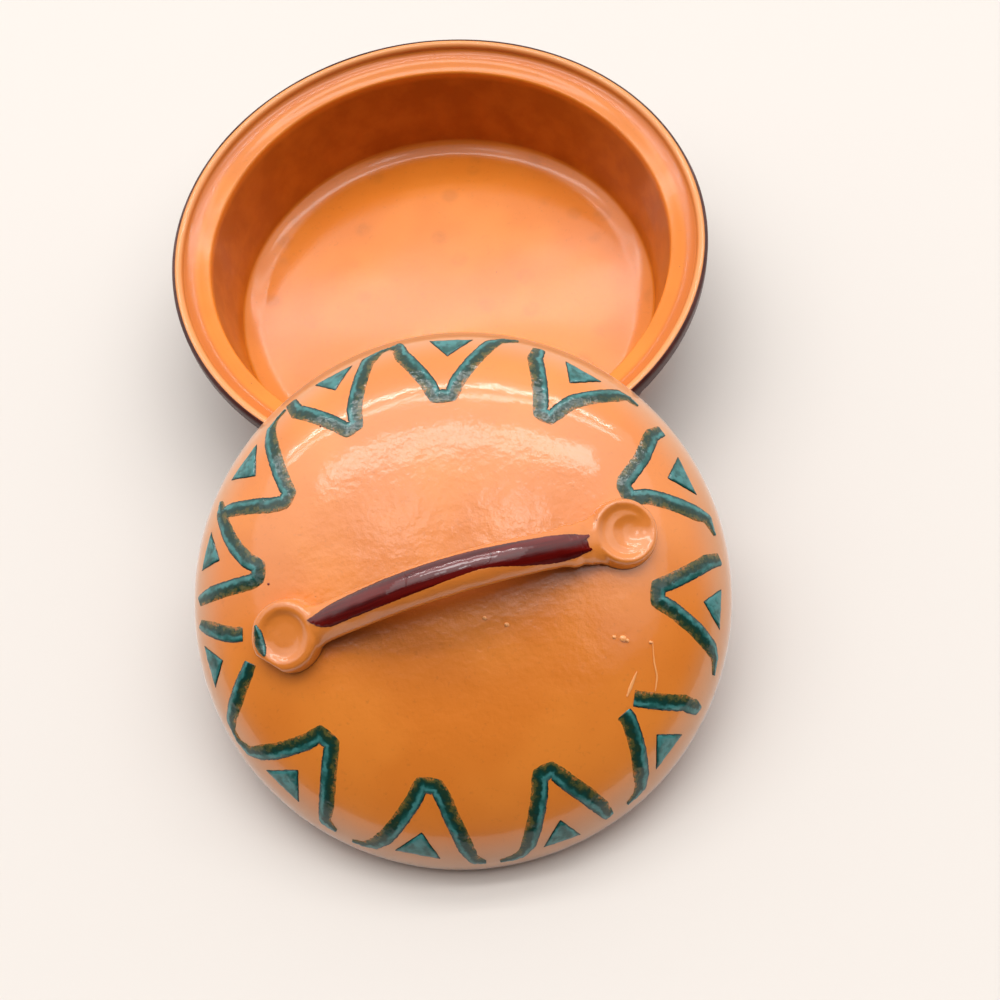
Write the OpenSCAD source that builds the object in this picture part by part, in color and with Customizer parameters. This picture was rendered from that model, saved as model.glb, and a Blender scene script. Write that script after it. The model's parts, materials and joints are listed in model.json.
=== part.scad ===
// Terracotta dish with a stepped rim, and its domed lid leaning on it.
// Millimetres, +Z up, origin at the centre of the dish's foot.
// The lid lies as a cook puts it down: its near edge on the table, its rim on the dish's lip.

/* [Bowl] */
// Outer diameter of the lip
rim_d = 236; // [225:1:260]
// Height from the foot to the top of the lip
bowl_h = 58; // [50:1:70]
// Width of the rounded lip that rings the lid
lip_w = 4.5; // [4:0.1:6]
// Depth from the top of the lip to the ledge that carries the lid
gallery_depth = 4; // [3.4:0.1:6]
// Width of the hollow curve between the lip and the ledge
cove_w = 4.5; // [3:0.1:6]
// Width of the ledge that carries the lid
ledge_w = 7; // [5:0.5:9]
// How far the ledge falls towards the mouth
ledge_fall = 2; // [1:0.1:3]
// Radius of the ledge's inner edge
ledge_round = 1.6; // [0.8:0.1:2]
// Thickness of the wall below the ledge
wall_t = 8; // [6:0.5:10]
// Thickness of the floor
floor_t = 8; // [6:0.5:10]
// How much nearer the axis the inside is at the floor than at the mouth
wall_draft = 5.5; // [3:0.5:8]
// Radius between the inside wall and the floor
floor_fillet = 10; // [6:0.5:14]
// Radius between the wall and the flat foot
base_round = 16.5; // [10:0.5:20]
// Height of the lip's band on the outside
band_h = 8; // [7:0.5:10]
// Radius along the lower edge of the band
band_round = 2; // [1:0.1:3]
// Height of the slope that carries the band out from the wall
band_slope_h = 5; // [3:0.5:7]

/* [Lid] */
// Outer diameter of the lid
lid_d = 215; // [205:1:216]
// Height of the dome above the edge it stands on
lid_h = 44; // [36:1:56]
// Thickness of the lid's wall, rounded over along its edge
lid_wall = 6; // [5:0.5:8]
// Fullness of the dome, where 2 is an ellipse and more is squarer
dome_fullness = 2.2; // [2:0.05:2.6]

/* [Handle] */
// Distance between the centres of the two pads
handle_span = 131; // [115:1:140]
// Turn of the handle round the lid's axis, in degrees
handle_turn = 12; // [0:1:40]
// Diameter of the pads that are pressed on to the dome
pad_d = 27; // [20:0.5:28]
// Thickness of a pad
pad_t = 6.5; // [5.5:0.5:8]
// Width of the strap
strap_w = 14.5; // [12:0.5:18]
// Thickness of the strap at its crown
strap_t = 8; // [7:0.5:10]
// How far the edges lie below the crown
crown_drop = 3.6; // [2:0.1:4.5]
// Length over which the strap widens into a pad
neck_l = 15; // [10:1:20]
// Height of the finger gap over the top of the dome
finger_gap = 18; // [14:1:24]
// How far the strap's crown bows towards the dish
strap_bow = 0.5; // [0:0.5:5]
// Diameter of the thumb mark in a pad
thumb_d = 19; // [14:0.5:21]
// Depth of the thumb mark
thumb_depth = 3; // [1:0.1:3.5]

/* [Glaze] */
// Thickness of the raised green glaze on the lid
green_t = 0.6; // [0.4:0.1:1]
// Width of a brush stroke
stroke_w = 6.2; // [4:0.2:8]
// Clearance between the left pad and the stroke that comes out from under it
pad_to_stroke = 1.1; // [0.5:0.1:3]
// Width of a triangle's base on the dome
triangle_w = 15; // [10:0.5:18]
// Thickness of the dark glaze on the strap
strap_glaze_t = 0.5; // [0.3:0.1:0.8]
// Thickness of the dark glaze round the outside of the dish
coat_t = 0.4; // [0.3:0.1:0.6]
// How far the dark glaze climbs over the lip, in degrees from its outermost point
lip_coat_turn = 60; // [0:5:65]
// Height of the bare clay left above the foot
bare_h = 7; // [5:0.5:12]

/* [Resting place] */
// Distance between the two points where the lid's rim lies on the lip
lean_chord = 141; // [120:1:160]
// Clearance between the lid's rim and the lip
lean_gap = 0.4; // [0.2:0.1:0.8]
// Clearance between a layer of glaze and the clay under it
fired_gap = 0.02; // [0.01:0.01:0.05]

/* [Hidden] */

clay = "#dc8a4f";
dark_glaze = "#4a1416";
green_glaze = "#1d6e66";

round_steps = 180;
arc_steps = 6;
fillet_steps = 8;
dome_steps = 20;

// Radii and heights of the dish
rim_r = rim_d / 2;
lip_round = lip_w / 2;
lip_core_r = rim_r - lip_round;
lip_core_z = bowl_h - lip_round;
gallery_r = rim_r - lip_w - cove_w;
gallery_z = bowl_h - gallery_depth;
mouth_r = gallery_r - ledge_w;
mouth_z = gallery_z - ledge_fall;
floor_r = mouth_r - wall_draft;
neck_r = mouth_r + wall_t;
band_z = bowl_h - band_h;
base_r = floor_r + wall_t;
foot_r = base_r - base_round;
band_turn = 60;

// Radii and heights of the lid
lid_r = lid_d / 2;
edge_r = lid_wall / 2;
core_r = lid_r - edge_r;

// The lid's tilt follows from the lip's height and from where the two rims cross
lip_reach = lip_core_z - edge_r;
stack = edge_r + lip_round + lean_gap;
slope_l = core_r + sqrt(core_r * core_r - lean_chord * lean_chord / 4);
function settle(tilt) = asin((lip_reach + stack / cos(tilt)) / slope_l);
lid_tilt = settle(settle(settle(0)));
lid_reach = (lip_reach + stack / cos(lid_tilt)) / tan(lid_tilt) - core_r * cos(lid_tilt)
    + sqrt(lip_core_r * lip_core_r - lean_chord * lean_chord / 4);
lid_lift = edge_r + core_r * sin(lid_tilt);

// Handle
pad_r = pad_d / 2;
pad_x = handle_span / 2;
arch_x = pad_x - pad_r / 2;
arch_rise = finger_gap + strap_t - pad_t;
arch_power = 1.5;
crown_power = 2.2;
pad_rings = 9;
neck_rings = 8;
strap_rings = 24;
across_steps = 12;
last_ring_turn = 82;

// The stroke under the left pad starts at the pad's outer edge
under_pad_share = (pad_x + pad_r + pad_to_stroke + stroke_w / 2) / lid_r;

// Green pattern: for each chevron its arm's end, apex and other arm's end, in degrees round the lid,
// then the apex's radius as a share of the lid's
zigzag_shares = [
    [127, 119, 105.5, 0.69], [99.5, 89.5, 77, 0.69], [67, 57.5, 45, 0.69], [34, 26, 10.5, 0.71],
    [1.5, -7.5, -19, 0.71], [-31.5, -39.5, -52, 0.73], [-61, -69.5, -81, 0.72], [-92, -102.5, -113, 0.7],
    [-125.5, -135.5, -147, 0.7], [-156, -168.5, -177.5, under_pad_share], [177, 171, 159.5, 0.71],
    [155, 148, 135, 0.69]];
arm_end_share = 0.945;
triangle_tip_share = 0.865;
triangle_base_share = 0.945;
stroke_tip_share = 0.7;
band_top_share = 0.6;

// Lower edge of the dark glaze along the strap, as shares of half the strap's width
strap_glaze_from_share = -0.84;
strap_glaze_to_share = 0.83;
strap_glaze_top_share = 0.88;
strap_glaze_low_shares = [
    [-0.84, 0.1], [-0.78, -0.4], [-0.4, -0.65], [0, -0.62], [0.18, -0.5], [0.45, -0.75], [0.83, -0.72]];
strap_glaze_steps = 34;
strap_glaze_across = 12;

// Points of an arc from one angle to another
function arc(centre, r, from, to, steps) =
    [for (i = [0:steps]) let (a = from + (to - from) * i / steps)
        [centre.x + r * cos(a), centre.y + r * sin(a)]];

function reversed(points) = [for (i = [len(points) - 1:-1:0]) points[i]];

function smooth(s) = let (t = min(1, max(0, s))) t * t * (3 - 2 * t);

// Outside of the dish from the foot up over the lip, moved outwards by e
function base_curve(e, from) = arc([foot_r, base_round], base_round + e, from, 0, fillet_steps);
function band_curve(e) = concat(
    [[neck_r + e, band_z - band_slope_h]],
    arc([rim_r - band_round, band_z + band_round], band_round + e, -band_turn, 0, arc_steps));
function lip_curve(e, to, steps) = arc([lip_core_r, lip_core_z], lip_round + e, 0, to, steps);

module bowl() {
    color(clay)
        rotate_extrude($fn = round_steps)
            polygon(concat(
                [[0, 0]],
                base_curve(0, -90),
                band_curve(0),
                lip_curve(0, 180, 2 * arc_steps),
                [for (i = [1:arc_steps]) let (a = 90 * i / arc_steps)
                    [gallery_r + cove_w * cos(a),
                     lip_core_z - (lip_core_z - gallery_z) * sin(a)]],
                arc([mouth_r + ledge_round, mouth_z - ledge_round], ledge_round, 90, 180, arc_steps),
                arc([floor_r - floor_fillet, floor_t + floor_fillet], floor_fillet, 0, -90, fillet_steps),
                [[0, floor_t]]));
}

// Dark coat on the outside, from the top of the lip to a little above the foot
module outer_glaze() {
    from = asin((bare_h - base_round) / base_round);
    function skin(e) = concat(base_curve(e, from), band_curve(e), lip_curve(e, lip_coat_turn, arc_steps));
    inner = skin(fired_gap);
    outer = skin(fired_gap + coat_t);
    color(dark_glaze)
        rotate_extrude($fn = round_steps)
            polygon(concat(inner, reversed(outer)));
}

// Puts a piece of the lid, made standing on its edge round the origin, in its resting place
module resting() {
    translate([0, -lid_reach, lid_lift])
        rotate([lid_tilt, 0, 0])
            translate([0, 0, -edge_r])
                children();
}

// Height of the dome's outside at a distance r from the lid's axis
function dome_z(r) =
    edge_r + (lid_h - edge_r) * pow(1 - pow(min(1, r / lid_r), dome_fullness), 1 / dome_fullness);

// Outline of the dome, moved outwards by e, between two of its steps
function dome_curve(e, first, last) =
    [for (i = [first:last]) let (a = 90 * i / dome_steps)
        [(lid_r + e) * pow(cos(a), 2 / dome_fullness),
         edge_r + (lid_h - edge_r + e) * pow(sin(a), 2 / dome_fullness)]];

module lid() {
    color(clay)
        resting()
            rotate_extrude($fn = round_steps)
                polygon(concat(
                    arc([core_r, edge_r], edge_r, -180, 0, 2 * arc_steps),
                    dome_curve(0, 1, dome_steps),
                    reversed(dome_curve(-lid_wall, 1, dome_steps))));
}

// A thin layer over the dome, where the glaze pattern is cut from
module dome_layer(thickness) {
    rotate_extrude($fn = round_steps)
        polygon(concat(
            dome_curve(fired_gap + thickness, 1, dome_steps * band_top_share),
            reversed(dome_curve(fired_gap, 1, dome_steps * band_top_share))));
}

function on_lid(share, turn) = [share * lid_r * cos(turn), share * lid_r * sin(turn)];
function unit(v) = v / norm(v);
function left_of(v) = [-v.y, v.x];

// Outline of a bent brush stroke through three points, pointed at both ends
function stroke(a, b, c, w) =
    let (t1 = unit(b - a), t2 = unit(c - b), n1 = left_of(t1) * w / 2, n2 = left_of(t2) * w / 2,
         side = sign(t1.x * t2.y - t1.y * t2.x),
         crotch = b + side * (n1 + n2) / (1 + left_of(t1) * left_of(t2)),
         tip = stroke_tip_share * w / 2)
    [a - t1 * tip, a + side * n1, crotch, c + side * n2, c + t2 * tip, c - side * n2,
     b - side * n2, b + unit(t1 - t2) * w / 2, b - side * n1, a - side * n1];

module zigzag_glaze() {
    color(green_glaze)
        resting()
            intersection() {
                dome_layer(green_t);
                union()
                    for (row = zigzag_shares)
                        linear_extrude(height = lid_h)
                            polygon(stroke(on_lid(arm_end_share, row[0]), on_lid(row[3], row[1]),
                                           on_lid(arm_end_share, row[2]), stroke_w));
            }
}

module triangle_glaze() {
    base_turn = asin(triangle_w / (2 * triangle_base_share * lid_r));
    color(green_glaze)
        resting()
            intersection() {
                dome_layer(green_t);
                union()
                    for (row = zigzag_shares)
                        let (turn = (row[0] + row[1] + row[2]) / 3)
                            linear_extrude(height = lid_h)
                                polygon([on_lid(triangle_tip_share, turn),
                                         on_lid(triangle_base_share, turn - base_turn),
                                         on_lid(triangle_base_share, turn + base_turn)]);
            }
}

// Stations along the handle, from the end of one pad to the end of the other
pad_stations = [for (i = [pad_rings:-1:0]) pad_x + pad_r * sin(last_ring_turn * i / pad_rings)];
neck_stations = [for (i = [1:neck_rings]) pad_x - neck_l * i / neck_rings];
half_stations = concat(pad_stations, neck_stations);
stations = concat(
    -half_stations,
    [for (i = [1:strap_rings - 1]) (pad_x - neck_l) * (2 * i / strap_rings - 1)],
    reversed(half_stations));

function half_width(x) =
    abs(x) > pad_x ? sqrt(pad_r * pad_r - pow(abs(x) - pad_x, 2))
    : strap_w / 2 + (pad_r - strap_w / 2) * smooth((abs(x) - pad_x + neck_l) / neck_l);
function arch(x) = pow(max(0, 1 - pow(abs(x) / arch_x, 2)), arch_power);
function across(x, share) = share * half_width(x) + strap_bow * arch(x);
function thumb(x, y) =
    let (d = norm([abs(x) - pad_x, y]))
    d < thumb_d / 2 ? thumb_depth * (1 + cos(360 * d / thumb_d)) / 2 : 0;
function crown_z(x) = dome_z(abs(x)) + pad_t + arch_rise * arch(x);
function top_z(x, share) =
    let (y = across(x, share))
    dome_z(norm([x, y])) + pad_t + arch_rise * arch(x)
    - crown_drop * pow(abs(share), crown_power) - thumb(x, y);
function under_z(x, share) = max(dome_z(norm([x, across(x, share)])) + fired_gap, crown_z(x) - strap_t);

// A closed loft between an upper and a lower skin, each given as rows of points
module loft(upper, lower) {
    rows = len(upper);
    n = len(upper[0]);
    skin = rows * n;
    points = [for (row = concat(upper, lower), p = row) p];
    function at(i, j) = i * n + j;
    faces = [for (i = [0:rows - 2], j = [0:n - 2], f = [
        [at(i, j), at(i, j + 1), at(i + 1, j + 1)],
        [at(i, j), at(i + 1, j + 1), at(i + 1, j)],
        [skin + at(i, j), skin + at(i + 1, j + 1), skin + at(i, j + 1)],
        [skin + at(i, j), skin + at(i + 1, j), skin + at(i + 1, j + 1)]]) f];
    sides = [for (i = [0:rows - 2], f = [
        [at(i, 0), at(i + 1, 0), skin + at(i + 1, 0)],
        [at(i, 0), skin + at(i + 1, 0), skin + at(i, 0)],
        [at(i, n - 1), skin + at(i, n - 1), skin + at(i + 1, n - 1)],
        [at(i, n - 1), skin + at(i + 1, n - 1), at(i + 1, n - 1)]]) f];
    ends = [for (j = [0:n - 2], f = [
        [at(0, j), skin + at(0, j), skin + at(0, j + 1)],
        [at(0, j), skin + at(0, j + 1), at(0, j + 1)],
        [at(rows - 1, j), at(rows - 1, j + 1), skin + at(rows - 1, j + 1)],
        [at(rows - 1, j), skin + at(rows - 1, j + 1), skin + at(rows - 1, j)]]) f];
    polyhedron(points, concat(faces, sides, ends), convexity = 4);
}

// One pulled strap of clay whose ends are thumbed down on the dome as round pads
module handle() {
    shares = [for (j = [0:across_steps]) 2 * j / across_steps - 1];
    color(clay)
        resting()
            rotate([0, 0, handle_turn])
                loft([for (x = stations) [for (s = shares) [x, across(x, s), top_z(x, s)]]],
                     [for (x = stations) [for (s = shares) [x, across(x, s), under_z(x, s)]]]);
}

// Dark glaze brushed along the back and the crown of the strap
module handle_glaze() {
    length_shares = [for (i = [0:strap_glaze_steps])
        strap_glaze_from_share + (strap_glaze_to_share - strap_glaze_from_share) * i / strap_glaze_steps];
    function row(share, lift) =
        let (low = lookup(share, strap_glaze_low_shares), x = share * pad_x)
        [for (j = [0:strap_glaze_across])
            let (s = low + (strap_glaze_top_share - low) * j / strap_glaze_across)
            [x, across(x, s), top_z(x, s) + fired_gap + lift]];
    color(dark_glaze)
        resting()
            rotate([0, 0, handle_turn])
                loft([for (share = length_shares) row(share, strap_glaze_t)],
                     [for (share = length_shares) row(share, fired_gap)]);
}

bowl();
outer_glaze();
lid();
zigzag_glaze();
triangle_glaze();
handle();
handle_glaze();
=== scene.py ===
"""A lidded terracotta dish, its domed lid leaning on the lip, dressed in fired glazes under soft light.

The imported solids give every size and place. Each class below remakes one sub-assembly as smooth pottery
in the same place and dresses it. Lengths are in metres in the meshes and in the places where a finish
changes, and in millimetres in the fields.
"""

from __future__ import annotations

import json
import logging
import math
from collections.abc import Callable
from dataclasses import dataclass
from enum import Enum

import bpy
from mathutils import Matrix, Vector
from mathutils.kdtree import KDTree

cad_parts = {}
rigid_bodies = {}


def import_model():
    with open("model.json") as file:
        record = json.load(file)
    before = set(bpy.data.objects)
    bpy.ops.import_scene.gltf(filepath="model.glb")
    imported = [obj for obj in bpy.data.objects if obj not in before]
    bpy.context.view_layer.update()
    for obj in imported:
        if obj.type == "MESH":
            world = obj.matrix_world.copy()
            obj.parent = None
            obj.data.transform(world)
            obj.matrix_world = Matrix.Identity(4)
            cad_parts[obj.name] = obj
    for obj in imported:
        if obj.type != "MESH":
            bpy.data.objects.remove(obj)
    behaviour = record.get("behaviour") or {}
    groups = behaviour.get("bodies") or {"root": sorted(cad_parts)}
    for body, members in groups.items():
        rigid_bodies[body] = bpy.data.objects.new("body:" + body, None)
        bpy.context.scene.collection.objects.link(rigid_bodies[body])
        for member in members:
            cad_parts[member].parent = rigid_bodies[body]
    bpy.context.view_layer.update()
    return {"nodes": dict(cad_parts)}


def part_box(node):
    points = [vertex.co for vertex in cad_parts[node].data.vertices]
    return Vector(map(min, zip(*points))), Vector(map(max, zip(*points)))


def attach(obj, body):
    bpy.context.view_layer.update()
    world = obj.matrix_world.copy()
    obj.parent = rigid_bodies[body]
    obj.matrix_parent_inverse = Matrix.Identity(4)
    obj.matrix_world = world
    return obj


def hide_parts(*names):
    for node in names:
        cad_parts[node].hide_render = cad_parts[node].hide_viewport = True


LOG = logging.getLogger("dish")
MM = 0.001

Piece = bpy.types.Object
Socket = bpy.types.NodeSocket
Point = tuple[float, float]
Triple = tuple[float, float, float]
Colour = Triple
Dab = Triple
Step = tuple[Vector, float]
Steps = tuple[Point, Point]


class Slot(Enum):
    """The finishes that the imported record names."""

    TERRACOTTA = "terracotta"
    DARK_GLAZE = "dark_glaze"
    GREEN_GLAZE = "green_glaze"


class Body(Enum):
    """The two loose pieces of the real object."""

    DISH = "dish"
    COVER = "cover"


# Outlines and paths


def clamped(value: float, low: float = 0.0, high: float = 1.0) -> float:
    """The value, kept between low and high."""
    return max(low, min(high, value))


def arc(centre: Point, radius: float, start: float, end: float, steps: int) -> list[Point]:
    """Points along an arc of a circle.

    Args:
        centre: The arc's centre.
        radius: Its radius.
        start: The angle of the first point, in degrees.
        end: The angle of the last point, in degrees.
        steps: How many chords the arc has.

    Returns:
        One more point than steps.
    """
    turns = [math.radians(start + (end - start) * i / steps) for i in range(steps + 1)]
    return [(centre[0] + radius * math.cos(t), centre[1] + radius * math.sin(t)) for t in turns]


def evened(outline: list[Point], longest: float) -> list[Point]:
    """The same outline with its long stretches divided, so that a displacement has points to move.

    Args:
        outline: Points in order.
        longest: The longest chord that stays whole.

    Returns:
        The outline with points added on its straight stretches.
    """
    points = [outline[0]]
    for a, b in zip(outline, outline[1:]):
        cuts = max(1, math.ceil(math.dist(a, b) / longest))
        points += [(a[0] + (b[0] - a[0]) * i / cuts, a[1] + (b[1] - a[1]) * i / cuts) for i in range(1, cuts + 1)]
    return points


def brushed(dabs: list[Dab], at: Callable[[float, float], Vector], step: float, passes: int = 2) -> list[Step]:
    """The smooth way of a brush through a few dabs.

    Args:
        dabs: Two coordinates and a width share for each dab.
        at: Gives the place of two such coordinates.
        step: The distance between the points of the way.
        passes: How often the way is smoothed.

    Returns:
        Places along the way, each with its width share.
    """
    way: list[Step] = []
    for a, b in zip(dabs, dabs[1:]):
        cuts = max(1, round((at(b[0], b[1]) - at(a[0], a[1])).length / step))
        for i in range(cuts):
            u, v, width = (p + (q - p) * i / cuts for p, q in zip(a, b))
            way.append((at(u, v), width))
    way.append((at(dabs[-1][0], dabs[-1][1]), dabs[-1][2]))
    for _ in range(passes):
        threes = zip(way, way[1:], way[2:])
        inner = [((p[0] + 2 * q[0] + r[0]) / 4, (p[1] + 2 * q[1] + r[1]) / 4) for p, q, r in threes]
        way = [way[0], *inner, way[-1]]
    return way


def headings(way: list[Step]) -> list[Vector]:
    """The direction of travel at each point of a way."""
    last = len(way) - 1
    return [(way[min(i + 1, last)][0] - way[max(i - 1, 0)][0]).normalized() for i in range(last + 1)]


# Modelling by hand


def select_only(piece: Piece) -> None:
    """Deselects everything but the piece and makes it active.

    Args:
        piece: The object to work on.
    """
    bpy.ops.object.select_all(action="DESELECT")
    piece.select_set(True)
    bpy.context.view_layer.objects.active = piece


def start_piece(name: str) -> Piece:
    """An empty mesh object at the origin, left in edit mode and ready for its first primitive.

    Args:
        name: The piece's name.

    Returns:
        The new object.
    """
    bpy.ops.object.select_all(action="DESELECT")
    bpy.ops.mesh.primitive_plane_add(size=MM)
    piece = bpy.context.active_object
    piece.name = piece.data.name = name
    bpy.ops.object.mode_set(mode="EDIT")
    bpy.ops.mesh.select_all(action="SELECT")
    bpy.ops.mesh.delete(type="VERT")
    return piece


def start_point(spot: Vector) -> None:
    """Puts one selected point into the mesh under work.

    Args:
        spot: Its place, in metres.
    """
    bpy.ops.mesh.select_all(action="DESELECT")
    bpy.ops.mesh.primitive_plane_add(size=MM, location=spot)
    bpy.ops.mesh.merge(type="CENTER")


def draw_out(move: Vector) -> None:
    """Extrudes what is selected in the mesh under work."""
    bpy.ops.mesh.extrude_region_move(TRANSFORM_OT_translate={"value": move})


def cut_off(spot: Vector, across: Vector) -> None:
    """Cuts the mesh under work at a plane, takes the part that across points to away and closes the cut."""
    bpy.ops.mesh.select_all(action="SELECT")
    bpy.ops.mesh.bisect(plane_co=spot, plane_no=across, use_fill=True, clear_outer=True)


def apply_modifier(piece: Piece, kind: str, **settings: object) -> None:
    """Adds a modifier, sets it and applies it.

    Args:
        piece: The object to change.
        kind: The modifier's type.
        settings: Its settings by name.
    """
    select_only(piece)
    modifier = piece.modifiers.new(kind.lower(), kind)
    for key, value in settings.items():
        setattr(modifier, key, value)
    bpy.ops.object.modifier_apply(modifier=modifier.name)


def smooth(piece: Piece, turn: float = 40) -> None:
    """Shades a piece smooth, with edges kept where it bends by more than turn degrees."""
    select_only(piece)
    bpy.ops.object.shade_smooth_by_angle(angle=math.radians(turn))


def hand_worked(piece: Piece, depth: float, size: float, middle: float = 0.5) -> None:
    """Gives a surface the slight unevenness of clay that was thrown and wiped by hand.

    Args:
        piece: The object to change.
        depth: The height of the unevenness, in millimetres.
        size: How far apart its hollows lie, in millimetres.
        middle: The share of the depth that lies under the old surface, where 1 only takes clay away.
    """
    cloud = bpy.data.textures.new(f"{piece.name}_unevenness", "CLOUDS")
    cloud.noise_scale = size * MM
    cloud.noise_depth = 1
    settings = {"texture": cloud, "texture_coords": "LOCAL", "direction": "NORMAL"}
    apply_modifier(piece, "DISPLACE", strength=depth * MM, mid_level=middle, **settings)


def turned(name: str, outline: list[Point], steps: int) -> Piece:
    """Turns an outline round the vertical axis, as on a potter's wheel.

    Args:
        name: The piece's name.
        outline: Distances from the axis and heights in millimetres, in order. A closed one repeats its first point.
        steps: How many wedges the piece has.

    Returns:
        The piece, with its faces pointing outwards.
    """
    piece = start_piece(name)
    start_point(Vector((outline[0][0], 0, outline[0][1])) * MM)
    for a, b in zip(outline, outline[1:]):
        draw_out(Vector((b[0] - a[0], 0, b[1] - a[1])) * MM)
    bpy.ops.mesh.select_all(action="SELECT")
    bpy.ops.mesh.spin(steps=steps, angle=math.tau, center=(0, 0, 0), axis=(0, 0, 1))
    bpy.ops.mesh.select_all(action="SELECT")
    bpy.ops.mesh.remove_doubles(threshold=MM / 100)
    bpy.ops.mesh.normals_make_consistent(inside=False)
    bpy.ops.object.mode_set(mode="OBJECT")
    return piece


def lay_strip(way: list[Step], width: float) -> None:
    """Lays a brush stroke as a flat strip in the mesh under work: an edge, drawn along its way, turned and widened.

    Args:
        way: The way of the brush, each place with its width share.
        width: The full width, in millimetres.
    """
    ahead = headings(way)
    start_point(way[0][0])
    half = ahead[0].cross(Vector((0, 0, 1))) * way[0][1] * width * MM / 2
    bpy.ops.transform.translate(value=half)
    draw_out(-2 * half)
    bpy.ops.mesh.select_linked()
    for i in range(1, len(way)):
        draw_out(way[i][0] - way[i - 1][0])
        turn = ahead[i - 1].to_2d().angle_signed(ahead[i].to_2d(), 0)
        bpy.ops.transform.rotate(value=turn, orient_axis="Z", center_override=way[i][0])
        ratio = way[i][1] / way[i - 1][1]
        bpy.ops.transform.resize(value=(ratio, ratio, 1), center_override=way[i][0])


def divide(piece: Piece, cuts: int, ragged: float, seed: int) -> None:
    """Cuts flat shapes into small faces with slightly ragged edges and leaves edit mode.

    Args:
        piece: The flat shapes, in edit mode.
        cuts: How often their edges are cut.
        ragged: How far their points stray, in millimetres.
        seed: The seed of that straying.
    """
    bpy.ops.mesh.select_all(action="SELECT")
    bpy.ops.mesh.subdivide(number_cuts=cuts)
    bpy.ops.transform.vertex_random(offset=ragged * MM, uniform=0, normal=0, seed=seed)
    bpy.ops.mesh.select_mode(type="FACE")
    bpy.ops.mesh.select_all(action="DESELECT")
    bpy.ops.object.mode_set(mode="OBJECT")
    for face in piece.data.polygons:
        face.select = face.normal.z < 0
    bpy.ops.object.mode_set(mode="EDIT")
    bpy.ops.mesh.flip_normals()
    bpy.ops.mesh.select_mode(type="VERT")
    bpy.ops.object.mode_set(mode="OBJECT")


def paint(piece: Piece, name: str, values: list[float]) -> None:
    """Paints one number on each point of a piece, under a name that its material reads."""
    piece.data.attributes.new(name, "FLOAT", "POINT").data.foreach_set("value", values)


def rounded(edge: float, fall: float) -> Callable[[float], float]:
    """A glaze of even thickness that falls off towards both edges of its stroke.

    Args:
        edge: The run at which the thickness would reach zero.
        fall: Over how much of the run it falls.

    Returns:
        The share of the thickness at each value of the run.
    """
    return lambda run: min(1, (edge - abs(run)) / fall)


@dataclass(frozen=True)
class Brush:
    """How strokes of glaze are laid: width, thickness and straying in millimetres, and the form across a stroke."""

    width: float
    thick: float
    cuts: int
    ragged: float
    seed: int
    profile: Callable[[float], float]
    lumps: float = 0.0
    lump_size: float = 3.5
    narrowest: float = 1.5
    thinnest: float = 0.02
    levels: int = 20

    def lay(self, name: str, ways: list[list[Step]], ground: Piece) -> Piece:
        """Lays strokes over the clay and raises them.

        Args:
            name: The piece's name.
            ways: The way of each stroke.
            ground: The clay, or the glaze, that they lie on.

        Returns:
            The raised strokes.
        """
        piece = start_piece(name)
        for way in ways:
            lay_strip(way, self.width)
        divide(piece, self.cuts, self.ragged, self.seed)
        self.run_over(piece, ways)
        self.lift(piece, ground)
        return piece

    def run_over(self, piece: Piece, ways: list[list[Step]]) -> None:
        """Paints how far each point lies across its stroke, from -1 on the right to 1 on the left.

        Args:
            piece: The divided strips.
            ways: Their ways.
        """
        spots = [(spot, ahead, share * self.width) for way in ways for (spot, share), ahead in zip(way, headings(way))]
        tree = KDTree(len(spots))
        for i, (spot, _, _) in enumerate(spots):
            tree.insert((spot.x, spot.y, 0), i)
        tree.balance()
        values = []
        for vertex in piece.data.vertices:
            _, i, _ = tree.find((vertex.co.x, vertex.co.y, 0))
            spot, ahead, width = spots[i]
            left = (vertex.co - spot).to_2d().dot(Vector((-ahead.y, ahead.x)))
            values.append(clamped(left / (max(width, self.narrowest) * MM / 2), -1.0))
        paint(piece, "run", values)

    def lift(self, piece: Piece, ground: Piece) -> None:
        """Drops flat glaze on to the clay and gives it a rounded thickness.

        Args:
            piece: The flat glaze, over the clay, with its run painted on.
            ground: The clay.
        """
        group = piece.vertex_groups.new(name="thick")
        runs = [0.0] * len(piece.data.vertices)
        piece.data.attributes["run"].data.foreach_get("value", runs)
        for level in range(-self.levels, self.levels + 1):
            members = [i for i, run in enumerate(runs) if round(run * self.levels) == level]
            if members:
                group.add(members, clamped(self.profile(level / self.levels), self.thinnest), "REPLACE")
        down = {"use_project_z": True, "use_negative_direction": True, "use_positive_direction": False}
        apply_modifier(piece, "SHRINKWRAP", target=ground, wrap_method="PROJECT", **down)
        share = {"vertex_group": "thick", "thickness_vertex_group": 0.0}
        apply_modifier(piece, "SOLIDIFY", thickness=self.thick * MM, offset=1.0, use_rim=True, **share)
        apply_modifier(piece, "SUBSURF", levels=1, render_levels=1)
        if self.lumps:
            hand_worked(piece, self.lumps, self.lump_size)
        smooth(piece, turn=60)


def place(piece: Piece, rest: Matrix) -> None:
    """Moves a piece to its resting place and leaves its object at the origin.

    Args:
        piece: The object to move.
        rest: The place and turn of the frame that it was made in.
    """
    piece.matrix_world = rest
    select_only(piece)
    bpy.ops.object.transform_apply(location=True, rotation=True, scale=True)


def dress(piece: Piece, finish: bpy.types.Material, slot: Slot, body: Body, replaced: str | None = None) -> None:
    """Gives a finished piece its material and ties it to its body.

    Args:
        piece: The object, in its resting place.
        finish: Its material.
        slot: The record's material slot; not used.
        body: The body that it moves with.
        replaced: The CAD node that it stands for, if any.
    """
    piece.data.materials.clear()
    piece.data.materials.append(finish)
    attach(piece, body.value)
    if replaced:
        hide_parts(replaced)
    LOG.info("%s: %d faces on %s", piece.name, len(piece.data.polygons), body.value)
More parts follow.
